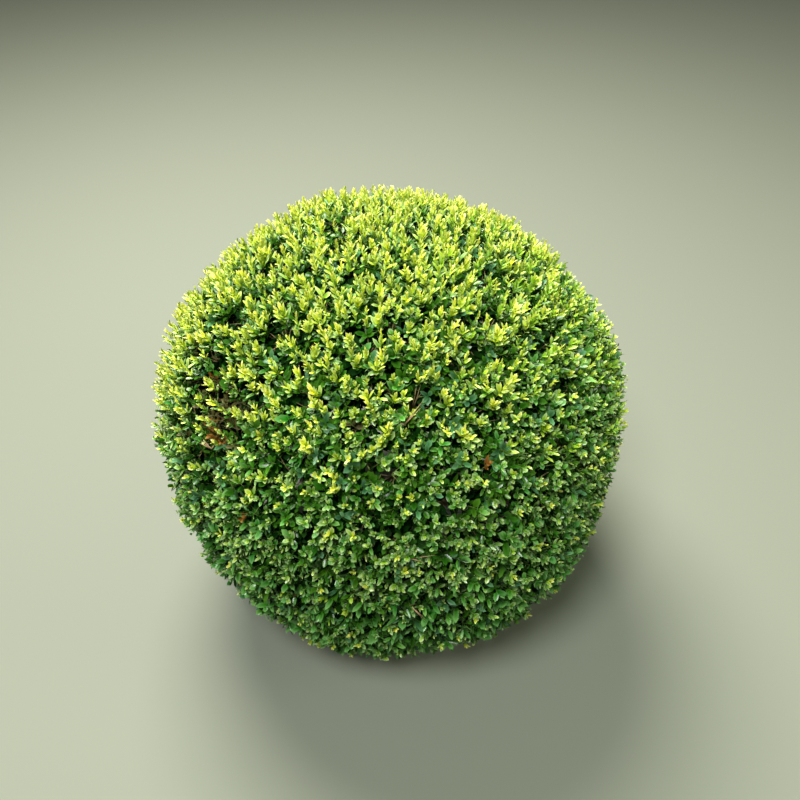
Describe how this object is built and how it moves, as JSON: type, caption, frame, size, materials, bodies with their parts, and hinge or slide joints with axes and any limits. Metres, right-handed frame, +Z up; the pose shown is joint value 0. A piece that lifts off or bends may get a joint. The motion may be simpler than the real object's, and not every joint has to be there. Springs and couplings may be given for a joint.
{
  "type": "clipped box ball shrub",
  "caption": "Evergreen box shrub clipped to a ball, rooted in the ground, with a short flared stem and boughs inside one leafy mass.",
  "frame": {"origin": "centre of the flat cut under the stem, at ground level", "axes": "+Z up, -Y towards the viewer, +X to the viewer's right"},
  "size_m": [0.915, 0.9022, 0.8834],
  "materials": {
    "bark": "rough corky bark, grey-brown",
    "young_bark": "thin smooth bark, buff-brown",
    "twig": "green-brown young wood",
    "leaf": "leathery dark green leaf, satin gloss",
    "young_leaf": "soft yellow-green new leaf",
    "dead_leaf": "dry orange-brown leaf"
  },
  "bodies": {
    "root": {"stem": "bark", "leader": "young_bark", "bough_1": "young_bark", "bough_2": "young_bark", "bough_3": "young_bark", "bough_4": "young_bark", "bough_5": "young_bark", "bough_6": "young_bark", "bough_7": "young_bark", "bough_8": "young_bark", "foliage": "leaf"}
  },
  "joints": []
}
